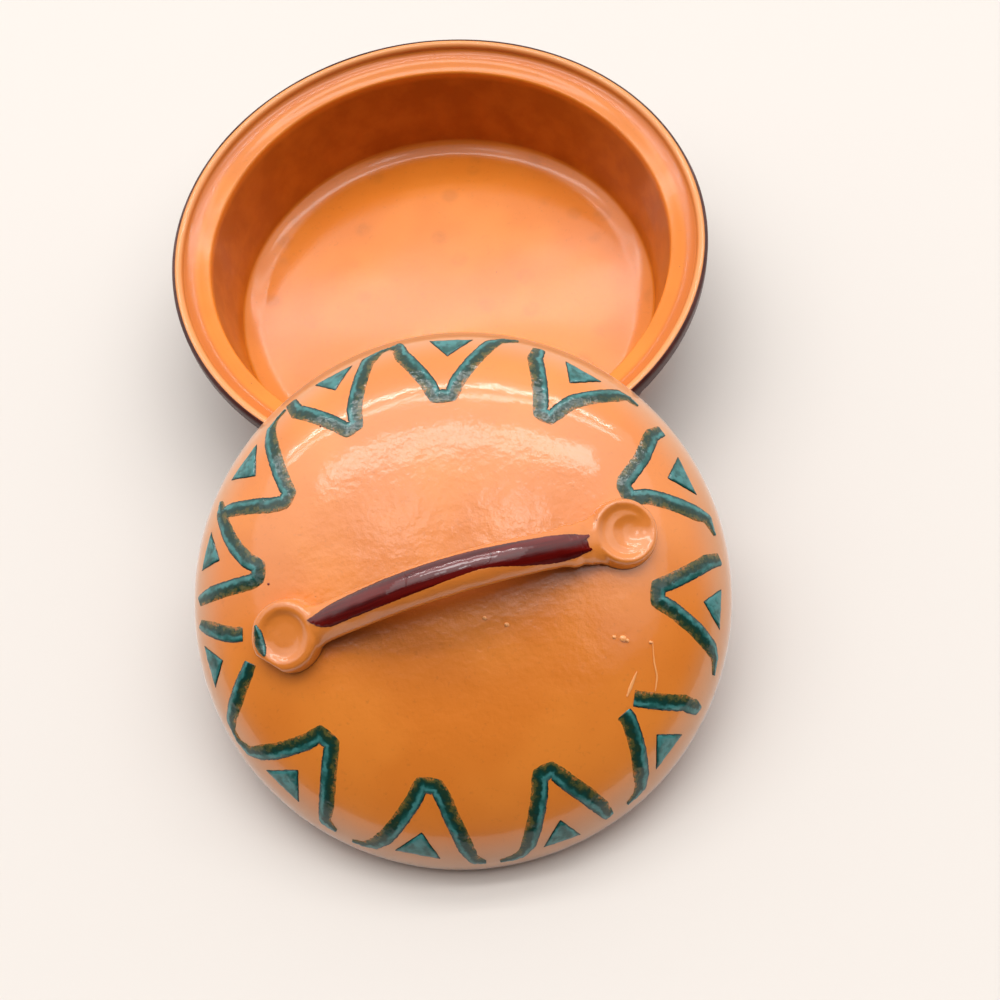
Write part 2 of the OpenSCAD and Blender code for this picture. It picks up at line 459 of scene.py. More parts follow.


# Materials

# Where a finish of the lid changes, in metres from its axis and along and across its strap: the crown's ripples, the
# painted reflection and shade at the edge, the painted shadow under the strap, and the strap's glossy top
CROWN: Point = (0.058, 0.075)
LID_EDGE_REFLECTION: Point = (0.090, 0.106)
STRAP_SHADOW_SIDES: Steps = ((-0.015, -0.005), (0.006, 0.009))
STRAP_SHADOW_ENDS: Steps = ((-0.062, -0.052), (0.052, 0.062))
STRAP_FLANK: Point = (-0.0030, 0.0010)

# Where a finish of the dish changes, in metres from its axis and over the table: the painted shade in the cove, the
# painted highlight on the lip, the floor's smudges, and painted shade with mottling on the inner wall, darker towards
# its top
COVE_SHADE: Steps = ((0.1075, 0.1100), (0.1125, 0.1145))
LIP_HIGHLIGHT: Point = (0.1128, 0.1148)
FLOOR: Point = (0.009, 0.011)
WALL_SHADE: Steps = ((0.0100, 0.0125), (0.047, 0.051))
WALL_SHADE_RISE: Point = (0.012, 0.044)


class Nodes:
    """Shader nodes under construction, with short names for those that both a material and the world need."""

    def __init__(self, tree: bpy.types.NodeTree, coordinates: str) -> None:
        """Starts with texture coordinates.

        Args:
            tree: The nodes of a material or of the world.
            coordinates: Which of the coordinates are the place.
        """
        self.tree = tree
        self.place = self.add("TexCoord", {}).outputs[coordinates]

    def add(self, kind: str, inputs: dict[str | int, Socket | float | Triple], **settings: object) -> bpy.types.Node:
        """Adds a node.

        Args:
            kind: The node's type, without the word that all of them start with.
            inputs: For each input another node's output, a number, a vector or a colour.
            settings: The node's own settings by name.

        Returns:
            The new node.
        """
        node = self.tree.nodes.new(f"ShaderNode{kind}")
        for key, value in settings.items():
            setattr(node, key, value)
        for key, source in inputs.items():
            target = node.inputs[key]
            if isinstance(source, Socket):
                self.tree.links.new(source, target)
            else:
                target.default_value = (*source, 1.0) if target.type == "RGBA" else source
        return node

    def ramp(self, source: Socket, low: float, high: float, start: float = 0.0, end: float = 1.0) -> Socket:
        """A smooth step from start, where the source is under low, to end, where it is over high."""
        inputs = {"Value": source, "From Min": low, "From Max": high, "To Min": start, "To Max": end}
        return self.add("MapRange", inputs, interpolation_type="SMOOTHSTEP").outputs["Result"]

    def band(self, source: Socket, rise: Point, fall: Point) -> Socket:
        """1 between two places, with a smooth step up over the first and a smooth step down over the second."""
        return self.times(self.ramp(source, *rise), self.ramp(source, *fall, 1.0, 0.0))

    def sum(self, a: Socket | float, b: Socket | float, operation: str = "ADD") -> Socket:
        """The sum of two values, or what another operation makes of them."""
        return self.add("Math", {0: a, 1: b}, operation=operation).outputs[0]

    def times(self, a: Socket | float, b: Socket | float) -> Socket:
        """The product of two values."""
        return self.sum(a, b, "MULTIPLY")

    def mix(self, share: Socket | float, a: Socket | Colour, b: Socket | Colour) -> Socket:
        """A colour between a, where the share is 0, and b, where it is 1."""
        return self.add("Mix", {0: share, 6: a, 7: b}, data_type="RGBA").outputs[2]

    def along(self, axis: str, at: Socket | None = None) -> Socket:
        """One of the given coordinates, or of the place."""
        return self.add("SeparateXYZ", {0: at or self.place}).outputs[axis]


class Recipe(Nodes):
    """A material under construction, with short names for what a glaze needs."""

    def __init__(self, name: str) -> None:
        """Makes a material with one Principled shader.

        Args:
            name: The material's name.
        """
        self.material = bpy.data.materials.new(name)
        self.material.use_nodes = True
        super().__init__(self.material.node_tree, "Object")
        self.shader = self.tree.nodes["Principled BSDF"]

    def set(self, **values: object) -> None:
        """Sets the shader's own sockets, written with underscores for spaces."""
        for key, value in values.items():
            self.shader.inputs[key.replace("_", " ")].default_value = value

    def feed(self, socket: str, source: Socket) -> None:
        """Links a node's output to one of the shader's sockets."""
        self.tree.links.new(source, self.shader.inputs[socket])

    def turn_to(self, rest: Matrix, stretch: Triple = (1, 1, 1)) -> Socket:
        """Coordinates in a piece's own frame.

        Args:
            rest: The place and turn of that frame.
            stretch: How many times shorter the pattern is along each axis.

        Returns:
            The output that holds them.
        """
        inputs = {"Location": rest.to_translation(), "Rotation": rest.to_euler("XYZ")}
        inputs |= {"Scale": [1 / s for s in stretch], "Vector": self.place}
        return self.add("Mapping", inputs, vector_type="TEXTURE").outputs["Vector"]

    def noise(self, size: float, detail: float = 3, rough: float = 0.5, at: Socket | None = None) -> Socket:
        """Cloudy variation from 0 to 1.

        Args:
            size: The distance between its clouds, in millimetres.
            detail: How many finer layers it has.
            rough: How strong they are.
            at: The coordinates, or the object's own.

        Returns:
            The noise's height.
        """
        inputs = {"Scale": 1 / (size * MM), "Detail": detail, "Roughness": rough, "Vector": at or self.place}
        return self.add("TexNoise", inputs).outputs["Fac"]

    def dots(self, size: float, share: float, radius: float) -> Socket:
        """Scattered round dots.

        Args:
            size: The distance between the places where one may lie, in millimetres.
            share: How many of those places have one.
            radius: A dot's radius, in millimetres.

        Returns:
            1 in a dot, falling to 0 round it.
        """
        node = self.add("TexVoronoi", {"Scale": 1 / (size * MM), "Vector": self.place})
        near = self.ramp(node.outputs["Distance"], 0.5 * radius / size, 1.3 * radius / size, 1.0, 0.0)
        lit = self.ramp(node.outputs["Color"], 1 - share - 0.01, 1 - share + 0.01)
        return self.times(near, lit)

    def patches(self, size: float, low: float, high: float, start: float = 0.0, end: float = 1.0) -> Socket:
        """Patches of noise with two finer layers: start where it is under low, end where it is over high."""
        return self.ramp(self.noise(size, 2), low, high, start, end)

    def distance(self, at: Socket | None = None) -> Socket:
        """How far a point lies from the vertical axis of the given coordinates, or of the object's own."""
        flat = self.add("VectorMath", {0: at or self.place, 1: (1, 1, 0)}, operation="MULTIPLY")
        return self.add("VectorMath", {0: flat.outputs["Vector"]}, operation="LENGTH").outputs["Value"]

    def attribute(self, name: str) -> Socket:
        """A number that is painted on the piece's points."""
        return self.add("Attribute", {}, attribute_name=name).outputs["Fac"]

    def bump(self, height: Socket, depth: float, under: Socket | None = None) -> Socket:
        """Fine relief.

        Args:
            height: What stands out.
            depth: How far, in millimetres.
            under: The relief that it lies on, if any.

        Returns:
            The bumped normal.
        """
        inputs = {"Distance": depth * MM, "Height": height} | ({} if under is None else {"Normal": under})
        return self.add("Bump", inputs).outputs["Normal"]

    def finish(self, body: Socket, normal: Socket) -> bpy.types.Material:
        """Gives the shader its colour, and the same relief to the body and to the clear coat over it.

        Args:
            body: The colour.
            normal: The bumped normal.

        Returns:
            The finished material.
        """
        self.feed("Base Color", body)
        self.feed("Normal", normal)
        self.feed("Coat Normal", normal)
        return self.material


@dataclass(frozen=True)
class GlazedClay:
    """Orange clay under a clear, glossy glaze."""

    light: Colour = (0.82, 0.238, 0.024)
    deep: Colour = (0.73, 0.190, 0.014)
    freckle: Colour = (0.32, 0.075, 0.012)
    ash: Colour = (0.60, 0.165, 0.016)
    # painted shade with mottling on the inner wall of the dish, darker towards its top
    wall: Colour = (0.44, 0.095, 0.006)
    # painted shade in the cove of the rim
    pooled: Colour = (0.56, 0.125, 0.008)
    # painted shade on the strap's underside and in its seam with the dome
    under: Colour = (0.13, 0.020, 0.004)
    # painted shadow that the strap casts on the dome
    strap_shadow: Colour = (0.40, 0.070, 0.004)
    # painted reflection of the pale table, with painted shade: paler and duller towards the lid's edge
    rim: Colour = (0.56, 0.27, 0.12)
    # painted highlight on the top of the lip
    lip: Colour = (0.84, 0.34, 0.12)
    gloss: float = 0.06
    coat: float = 1.0
    sheen: float = 0.45
    haze: float = 0.0
    wave: float = 0.12
    peel: float = 0.02
    crown: Matrix | None = None
    strap: Matrix | None = None
    painted_shade: bool = False
    walled: bool = False

    def make(self, name: str) -> bpy.types.Material:
        """Builds the material.

        Args:
            name: The material's name.

        Returns:
            The finished material.
        """
        recipe = Recipe(name)
        recipe.set(Roughness=0.35, Coat_Weight=self.coat, Coat_Roughness=self.gloss, Coat_IOR=1.5)
        recipe.set(Specular_IOR_Level=self.sheen, Sheen_Weight=self.haze, Sheen_Roughness=0.25)
        pits = recipe.dots(size=8, share=0.22, radius=0.28)
        body = recipe.mix(recipe.patches(42, 0.38, 0.68, 0.75, 0.0), self.light, self.deep)
        body = recipe.mix(recipe.ramp(recipe.noise(2.2, 4, 0.65), 0.55, 0.85, 0.0, 0.3), body, self.freckle)
        body = recipe.mix(pits, body, self.freckle)
        normal = recipe.bump(recipe.noise(12, 2), self.wave)
        normal = recipe.bump(recipe.noise(1.6, 3, 0.6), self.peel, normal)
        if self.crown:
            reach = recipe.distance(recipe.turn_to(self.crown))
            crown = recipe.ramp(reach, *CROWN, 1.0, 0.0)
            normal = recipe.bump(recipe.times(crown, recipe.noise(1.5, 3, 0.65)), 0.09, normal)
            normal = recipe.bump(recipe.times(crown, recipe.noise(7, 2)), 0.32, normal)
            # Painted reflection and painted shade: the glaze turns paler and duller towards the lid's edge.
            body = recipe.mix(recipe.ramp(reach, *LID_EDGE_REFLECTION, 0.0, 0.8), body, self.rim)
        # Painted shadow: the dome is darker under the strap and just in front of it, where the strap's shade falls.
        if self.strap:
            along = recipe.turn_to(self.strap)
            near = recipe.band(recipe.along("Y", along), *STRAP_SHADOW_SIDES)
            reach = recipe.band(recipe.along("X", along), *STRAP_SHADOW_ENDS)
            body = recipe.mix(recipe.times(recipe.times(near, reach), 0.9), body, self.strap_shadow)
        # Painted shade, read from the points: the strap's underside and its near seam with the dome are darker.
        if self.painted_shade:
            body = recipe.mix(recipe.attribute("under"), body, self.under)
        normal = recipe.bump(pits, -0.1, normal)
        if self.walled:
            high, reach = recipe.along("Z"), recipe.distance()
            smudge = recipe.times(recipe.dots(size=17, share=0.6, radius=4.5), recipe.patches(5, 0.3, 0.6, 0.2, 0.5))
            body = recipe.mix(recipe.times(smudge, recipe.ramp(high, *FLOOR, 1.0, 0.0)), body, self.ash)
            # Painted shade: the cove of the rim is darker.
            body = recipe.mix(recipe.times(recipe.band(reach, *COVE_SHADE), 0.7), body, self.pooled)
            # Painted highlight: the top of the lip is paler.
            body = recipe.mix(recipe.ramp(reach, *LIP_HIGHLIGHT, 0.0, 0.8), body, self.lip)
            # Painted shade with noise mottling: the inner wall is darker, more so towards its top.
            wall = recipe.band(high, *WALL_SHADE)
            cloud = recipe.ramp(recipe.noise(16, 4, 0.55), 0.3, 0.7, 0.0, 0.35)
            mottle_and_shade = recipe.sum(cloud, recipe.ramp(high, *WALL_SHADE_RISE, 0.5, 0.75))
            body = recipe.mix(recipe.times(wall, mottle_and_shade), body, self.wall)
            normal = recipe.bump(recipe.times(wall, recipe.noise(4, 2)), 0.03, normal)
        return recipe.finish(body, normal)


@dataclass(frozen=True)
class DarkGlaze:
    """Dark maroon glaze, brushed on thick."""

    rest: Matrix
    stretch: Triple = (1, 1, 1)
    dark: Colour = (0.060, 0.001, 0.001)
    light: Colour = (0.150, 0.004, 0.002)
    gloss: float = 0.06
    ridge: float = 0.045
    coat: float = 1.0
    flank: float | None = None

    def make(self, name: str) -> bpy.types.Material:
        """Builds the material.

        Args:
            name: The material's name.

        Returns:
            The finished material.
        """
        recipe = Recipe(name)
        recipe.set(Roughness=0.4, Coat_Weight=self.coat, Coat_Roughness=self.gloss)
        recipe.set(Specular_IOR_Level=0.02, Coat_IOR=1.5 if self.flank is None else 1.65)
        if self.flank is not None:
            side = recipe.along("Y", recipe.turn_to(self.rest))
            recipe.feed("Coat Weight", recipe.ramp(side, *STRAP_FLANK, self.flank, 1.0))
        along = recipe.turn_to(self.rest, self.stretch)
        streak = recipe.ramp(recipe.noise(2.2, 3, 0.5, along), 0.3, 0.75)
        normal = recipe.bump(recipe.noise(1.1, 2, 0.6, along), self.ridge)
        normal = recipe.bump(recipe.noise(0.9, 2), 0.01, normal)
        return recipe.finish(recipe.mix(streak, self.dark, self.light), normal)


@dataclass(frozen=True)
class GreenGlaze:
    """Blue-green glaze that ran inwards in each chevron: thin and olive outside, pooled and glossy inside."""

    pool: Colour = (0.001, 0.036, 0.028)
    teal: Colour = (0.006, 0.075, 0.062)
    # lighter teal along the ridge: partly the glaze's own lighter pooled colour, partly a painted highlight
    crest_tone_and_highlight: Colour = (0.050, 0.215, 0.210)
    line: Colour = (0.003, 0.016, 0.013)
    thin: Colour = (0.008, 0.034, 0.017)
    olive: Colour = (0.085, 0.080, 0.020)
    clay: Colour = (0.42, 0.14, 0.025)

    def make(self, name: str) -> bpy.types.Material:
        """Builds the material.

        Args:
            name: The material's name.

        Returns:
            The finished material.
        """
        recipe = Recipe(name)
        recipe.set(Roughness=0.4, Coat_Weight=1.0, Coat_Roughness=0.07, Coat_IOR=1.5, Specular_IOR_Level=0.08)
        run = recipe.attribute("run")
        level = recipe.sum(run, recipe.ramp(recipe.noise(4, 3, 0.6), 0.3, 0.7, -0.3, 0.3))
        grain = recipe.noise(0.9, 3, 0.7)
        bubbles = recipe.dots(size=2.6, share=0.16, radius=0.32)
        veil = recipe.mix(recipe.ramp(recipe.noise(2.6, 3, 0.6), 0.40, 0.56), self.thin, self.olive)
        body = recipe.mix(recipe.ramp(grain, 0.44, 0.56), self.olive, self.clay)
        for low, high, colour in (
            (-1.0, -0.65, veil),
            (-0.55, -0.2, self.thin),
            (-0.2, 0.05, self.pool),
            (0.1, 0.45, self.teal),
        ):
            body = recipe.mix(recipe.ramp(level, low, high), body, colour)
        middle = recipe.sum(run, recipe.patches(3, 0.3, 0.7, -0.14, 0.14))
        # The ridge streak is partly the glaze's own lighter tone and partly a painted highlight.
        streak = recipe.times(recipe.band(middle, (0.1, 0.4), (0.55, 0.85)), recipe.patches(5, 0.30, 0.62, 0.15, 1.0))
        for share, colour in ((streak, self.crest_tone_and_highlight), (bubbles, self.line), (recipe.ramp(run, 0.78, 0.96), self.line)):
            body = recipe.mix(share, body, colour)
        normal = recipe.bump(recipe.noise(3, 3, 0.55), 0.22)
        normal = recipe.bump(bubbles, -0.12, normal)
        return recipe.finish(body, recipe.bump(grain, 0.02, normal))


# Sub-assemblies


@dataclass
class Dish:
    """The dish: a stepped rim, a drafted wall that turns tightly and then sweeps into a flat floor, a dark coat."""

    rim_r: float
    height: float
    lip_w: float = 4.5
    gallery_depth: float = 4.0
    cove_w: float = 4.5
    cove_steps: int = 10
    ledge_w: float = 7.0
    ledge_fall: float = 2.0
    ledge_round: float = 1.6
    wall: float = 8.0
    floor: float = 8.0
    draft: float = 5.5
    corner: float = 2.5
    corner_turn: float = 56.0
    corner_step: float = 3.0
    sweep: float = 16.0
    base_round: float = 16.5
    band_h: float = 8.0
    band_round: float = 2.0
    band_slope_h: float = 5.0
    band_turn: float = 60.0
    bare_h: float = 7.0
    coat: float = 0.4
    coat_gap: float = 0.02
    coat_turn: float = 60.0
    coat_chord: float = 4.0
    clay_chord: float = 3.0
    clay_worked: Point = (0.3, 55.0)
    coat_worked: Point = (0.2, 30.0)
    steps: int = 256

    def __post_init__(self) -> None:
        """Works out the radii and heights that several outlines share."""
        self.lip_round = self.lip_w / 2
        self.lip_core = (self.rim_r - self.lip_round, self.height - self.lip_round)
        self.gallery_r = self.rim_r - self.lip_w - self.cove_w
        self.gallery_z = self.height - self.gallery_depth
        self.mouth_r = self.gallery_r - self.ledge_w
        self.mouth_z = self.gallery_z - self.ledge_fall
        self.floor_r = self.mouth_r - self.draft
        self.band_z = self.height - self.band_h
        self.foot_r = self.floor_r + self.wall - self.base_round

    def outside(self, out: float, start: float, end: float) -> list[Point]:
        """The outline of the outside, from the rounding over the foot up over the lip.

        Args:
            out: How far it lies outside the clay.
            start: The angle at which the rounding starts, in degrees.
            end: How far it goes over the lip, in degrees.

        Returns:
            The outline in millimetres.
        """
        band = (self.rim_r - self.band_round, self.band_z + self.band_round)
        return (
            arc((self.foot_r, self.base_round), self.base_round + out, start, 0, steps=16)
            + [(self.mouth_r + self.wall + out, self.band_z - self.band_slope_h)]
            + arc(band, self.band_round + out, -self.band_turn, 0, steps=8)
            + arc(self.lip_core, self.lip_round + out, 0, end, steps=max(8, round(end / 10)))
        )

    def clay_outline(self) -> list[Point]:
        """The outline of the clay.

        Returns:
            Points from the middle of the foot round the outside and the inside to the middle of the floor.
        """
        drop = self.lip_core[1] - self.gallery_z
        turn = math.radians(self.corner_turn)
        tight_x = self.floor_r - self.corner
        wide_x = tight_x - (self.sweep - self.corner) * math.cos(turn)
        tight = (tight_x, self.floor + self.sweep - (self.sweep - self.corner) * math.sin(turn))
        ledge = (self.mouth_r + self.ledge_round, self.mouth_z - self.ledge_round)
        cove = [
            (self.gallery_r + self.cove_w * math.cos(t), self.lip_core[1] - drop * math.sin(t))
            for t in (math.radians(90 * i / self.cove_steps) for i in range(1, self.cove_steps + 1))
        ]
        return (
            [(0, 0)]
            + self.outside(0, -90, 180)
            + cove
            + arc(ledge, self.ledge_round, 90, 180, steps=8)
            + arc(tight, self.corner, 0, -self.corner_turn, steps=6)
            + arc((wide_x, self.floor + self.sweep), self.sweep, -self.corner_turn - self.corner_step, -90, steps=12)
            + [(0, self.floor)]
        )

    def coat_outline(self) -> list[Point]:
        """The outline of the dark coat, which thins out over the lip.

        Returns:
            A closed outline.
        """
        start = math.degrees(math.asin((self.bare_h - self.base_round) / self.base_round))
        inner = evened(self.outside(self.coat_gap, start, self.coat_turn), self.coat_chord)
        outer = evened(self.outside(self.coat_gap + self.coat, start, self.coat_turn), self.coat_chord)
        outer[-1] = ((outer[-1][0] + 3 * inner[-1][0]) / 4, (outer[-1][1] + 3 * inner[-1][1]) / 4)
        return inner + outer[::-1] + inner[:1]

    def build(self) -> None:
        """Models and dresses the dish and its coat."""
        clay = turned("dish_clay", evened(self.clay_outline(), self.clay_chord), self.steps)
        hand_worked(clay, *self.clay_worked, middle=1.0)
        coat = turned("dish_dark_coat", self.coat_outline(), self.steps)
        hand_worked(coat, *self.coat_worked)
        glazed = GlazedClay(gloss=0.13, coat=0.65, sheen=0.1, wave=0.03, peel=0.01, walled=True)
        maroon = DarkGlaze(
            Matrix.Identity(4),
            stretch=(0.3, 0.3, 0.9),
            dark=(0.050, 0.009, 0.007),
            light=(0.080, 0.015, 0.011),
            gloss=0.2,
            ridge=0.02,
            coat=0.45,
        )
        smooth(clay)
        dress(clay, glazed.make("dish_glazed_clay"), Slot.TERRACOTTA, Body.DISH, "bowl")
        smooth(coat)
        dress(coat, maroon.make("dish_dark_glaze"), Slot.DARK_GLAZE, Body.DISH, "outer_glaze")


def chevron_shares() -> list[list[Dab]]:
    """The brush's way round the dome, anticlockwise chevrons from the far left, each way drawn clockwise.

    Returns:
        For each stroke its dabs: the share of the lid's radius, the turn in degrees and the share of the full width.
    """
    return [
        [(.945, 127, .85), (.89, 127.5, 1), (.735, 121.8, 1), (.69, 120.5, .95), (.69, 117, .95), (.75, 115.2, 1),
         (.915, 107.1, .95), (.94, 103.5, .35), (.943, 101.5, .15)],
        [(.943, 101.5, .15), (.94, 99.5, .85), (.89, 99, 1), (.74, 93.2, 1), (.69, 91.8, .95), (.69, 87, .95),
         (.75, 85.2, 1), (.915, 78.2, .95), (.945, 75.8, .45), (.957, 72, .15)],
        [(.945, 67, .85), (.895, 67, 1), (.75, 61.5, 1), (.69, 59.5, .95), (.69, 56, .95), (.75, 54.6, 1),
         (.79, 53.4, 1), (.92, 46, .95), (.94, 44, .45), (.943, 41, .15)],
        [(.945, 33.3, .8), (.895, 33.6, 1), (.805, 30, 1), (.705, 27, 1), (.69, 25.5, .95), (.69, 22, .95),
         (.755, 20.1, 1), (.90, 12.6, 1), (.935, 11, .7), (.947, 7, .15)],
        [(.95, 1.8, .8), (.895, .9, 1), (.755, -3.9, 1), (.71, -5.2, .95), (.71, -9.4, .95), (.755, -10.8, 1),
         (.86, -15, 1), (.925, -18, .9), (.95, -20, .5), (.963, -23.5, .15)],
        [(.95, -30.2, .6), (.94, -31.5, 1), (.90, -31.8, 1), (.81, -34.8, 1), (.735, -37.3, 1)],
        [(.735, -42.2, 1), (.76, -42.6, 1), (.86, -47.1, 1), (.92, -50.2, 1), (.95, -52, .75), (.962, -54, .4),
         (.967, -56.7, .15)],
        [(.955, -60, .4), (.95, -61.2, .9), (.91, -61.8, 1.05), (.855, -63, 1.1), (.76, -66, 1.05),
         (.72, -67.3, 1), (.72, -71, 1), (.77, -72.6, 1), (.88, -77.1, 1), (.93, -79.2, .9), (.958, -81.2, .55),
         (.968, -83.5, .35), (.97, -86.2, .15)],
        [(.967, -89, .2), (.953, -91.5, .7), (.91, -93, 1), (.86, -94.2, 1), (.755, -97.5, 1), (.70, -100, 1),
         (.70, -104.6, 1), (.755, -105.9, 1), (.86, -109.2, 1), (.91, -111, 1), (.945, -113, .75),
         (.962, -115.3, .35), (.967, -118, .15)],
        [(.96, -121.8, .2), (.945, -125, .8), (.895, -126, 1), (.84, -127.5, 1), (.735, -131.4, 1), (.70, -133, 1),
         (.70, -137.5, 1), (.75, -138.6, 1), (.86, -142.8, 1), (.91, -145.2, .95), (.945, -147.3, .6),
         (.96, -150.5, .3), (.957, -153, .3), (.94, -155.5, .8), (.90, -157.5, 1), (.81, -162.6, .95),
         (.78, -164.8, .8)],
        [(.78, -172.6, .9), (.82, -173.1, .95), (.87, -174.6, 1), (.92, -176.4, .9), (.955, -177.7, .6)],
        [(.955, -182.7, .7), (.895, -183.9, 1), (.79, -185.4, 1), (.74, -186.2, 1), (.71, -187.2, .95),
         (.71, -190.8, .95), (.76, -192.3, 1), (.81, -195, .95), (.86, -198.3, .9), (.91, -202.2, .8),
         (.94, -205.5, .3)],
        [(.93, -202.5, .6), (.875, -204.3, .95), (.785, -207, 1), (.735, -208.5, 1), (.69, -210.8, .95),
         (.69, -214, .95), (.79, -219, 1), (.875, -222.9, .95), (.915, -225.2, .7), (.93, -228, .2),
         (.935, -231, .12)],
    ]


def triangle_shares() -> list[list[Point]]:
    """The three corners of each triangle, as shares of the lid's radius and turns in degrees."""
    return [
        [(.94, 120.5), (.932, 110.5), (.86, 117)],
        [(.94, 92.4), (.937, 82), (.855, 88)],
        [(.935, 60.5), (.93, 50.7), (.85, 56.7)],
        [(.935, 26.5), (.93, 16.5), (.85, 22.7)],
        [(.947, -4.7), (.949, -14), (.875, -8.2)],
        [(.95, -37.7), (.95, -47.4), (.87, -41.3)],
        [(.97, -68.2), (.96, -76.7), (.888, -70.9)],
        [(.954, -98.4), (.949, -108.6), (.863, -103)],
        [(.946, -131.7), (.944, -142), (.85, -136)],
        [(.95, -163), (.95, -173), (.88, -168)],
        [(.95, -189.3), (.94, -198.5), (.87, -191.8)],
        [(.942, -210.6), (.928, -221), (.845, -213.9)],
    ]


@dataclass
class Lid:
    """The domed lid, in its own frame until it is laid on the lip."""

    outer_r: float
    rest: Matrix
    height: float = 44.0
    wall: float = 6.0
    fullness: float = 2.2
    edge_steps: int = 20
    dome_steps: int = 60
    chord: float = 3.0
    worked: Point = (0.35, 48.0)
    steps: int = 256
    over: float = 95.0

    def __post_init__(self) -> None:
        """Works out the rounding of the edge."""
        self.edge_r = self.wall / 2
        self.core_r = self.outer_r - self.edge_r

    def dome(self, inside: float, steps: int) -> list[Point]:
        """Half the dome's outline from its edge to its pole.

        Args:
            inside: How far it lies inside the outer surface.
            steps: How many chords it has.

        Returns:
            The outline in millimetres.
        """
        turns = [math.radians(90 * i / steps) for i in range(1, steps)]
        power = 2 / self.fullness
        rise = self.height - self.edge_r - inside
        reach = self.outer_r - inside
        side = [(reach * math.cos(t) ** power, self.edge_r + rise * math.sin(t) ** power) for t in turns]
        return side + [(0, self.height - inside)]

    def height_at(self, r: float) -> float:
        """The height of the dome's outside at a distance r from its axis."""
        share = min(1, r / self.outer_r)
        return self.edge_r + (self.height - self.edge_r) * (1 - share**self.fullness) ** (1 / self.fullness)

    def slope_at(self, r: float) -> float:
        """How steeply the dome falls at a distance r from its axis, as an angle."""
        return math.atan(self.height_at(r - 0.5) - self.height_at(r + 0.5))

    def above(self, share: float, turn: float) -> Vector:
        """The point over the dome at a share of its radius and a turn in degrees, in metres."""
        r = share * self.outer_r
        return Vector((r * math.cos(math.radians(turn)), r * math.sin(math.radians(turn)), self.over)) * MM

    def model(self) -> Piece:
        """Turns the lid.

        Returns:
            The lid, standing on its edge round the origin.
        """
        rim = arc((self.core_r, self.edge_r), self.edge_r, -180, 0, self.edge_steps)
        outside, inside = self.dome(0, self.dome_steps), self.dome(self.wall, self.dome_steps // 2)
        clay = turned("lid_clay", evened(rim + outside + inside[::-1] + rim[:1], self.chord), self.steps)
        hand_worked(clay, *self.worked, middle=1.0)
        smooth(clay)
        return clay

    def lay_down(self, clay: Piece, strap: Matrix) -> None:
        """Lays the finished lid on the lip and dresses it.

        Args:
            clay: The lid, in its own frame.
            strap: The place and turn of the handle.
        """
        place(clay, self.rest)
        # The strap's frame places the painted shadow under the strap; the crown's frame places the painted reflection
        # and shade at the edge.
        finish = GlazedClay(haze=0.35, crown=self.rest, strap=strap)
        dress(clay, finish.make("lid_glazed_clay"), Slot.TERRACOTTA, Body.COVER, "lid")


@dataclass
class Brushwork:
    """The raised green chevrons and triangles on the lid."""

    lid: Lid
    clay: Piece
    step: float = 2.0
    width: float = 6.4
    thick: float = 0.6
    edge: float = 1.1
    pooled: float = 0.35

    def profile(self, run: float) -> float:
        """The share of the full thickness across a stroke: thin outside, a ridge inside, an edge at both."""
        body = 0.35 + 0.3 * (run + 1) / 2 + 0.35 * math.exp(-(((run - 0.45) / 0.35) ** 2))
        return body * rounded(1.06, 0.3)(run)

    def chevrons(self) -> Piece:
        """Models the brushed chevrons.

        Returns:
            The raised strokes, in the lid's frame.
        """
        brush = Brush(self.width, self.thick, cuts=3, ragged=0.28, seed=7, profile=self.profile, lumps=0.22)
        ways = [brushed(dabs, self.lid.above, self.step * MM, passes=0) for dabs in chevron_shares()]
        return brush.lay("lid_zigzags", ways, self.clay)

    def run_at(self, point: Vector, sides: list[tuple[Vector, Vector]]) -> float:
        """The run of a point in a triangle, which is 1 at its edge and falls inwards.

        Args:
            point: The point, seen from above.
            sides: Each side's start and way.

        Returns:
            The run.
        """
        gaps = [point - a - side * clamped((point - a).dot(side) / side.length_squared) for a, side in sides]
        depth = min(gap.length for gap in gaps)
        return max(self.pooled, 1 - (1 - self.pooled) * depth / (self.edge * MM))

    def triangles(self) -> Piece:
        """Models the triangles.

        Returns:
            The raised triangles, in the lid's frame.
        """
        brush = Brush(self.width, self.thick, cuts=13, ragged=0.2, seed=11, profile=rounded(1.06, 0.4), lumps=0.2)
        piece = start_piece("lid_triangles")
        sides = []
        for corners in triangle_shares():
            spots = [self.lid.above(share, turn) for share, turn in corners]
            start_point(spots[0])
            for a, b in zip(spots, spots[1:]):
                draw_out(b - a)
            bpy.ops.mesh.select_linked()
            bpy.ops.mesh.edge_face_add()
            sides += [(a.to_2d(), (b - a).to_2d()) for a, b in zip(spots, spots[1:] + spots[:1])]
        divide(piece, brush.cuts, brush.ragged, brush.seed)
        paint(piece, "run", [self.run_at(vertex.co.to_2d(), sides) for vertex in piece.data.vertices])
        brush.lift(piece, self.clay)
        return piece

    def build(self) -> None:
        """Models and dresses both patterns."""
        finish = GreenGlaze().make("green_brush_glaze")
        for piece, node in ((self.chevrons(), "zigzag_glaze"), (self.triangles(), "triangle_glaze")):
            place(piece, self.lid.rest)
            dress(piece, finish, Slot.GREEN_GLAZE, Body.COVER, node)


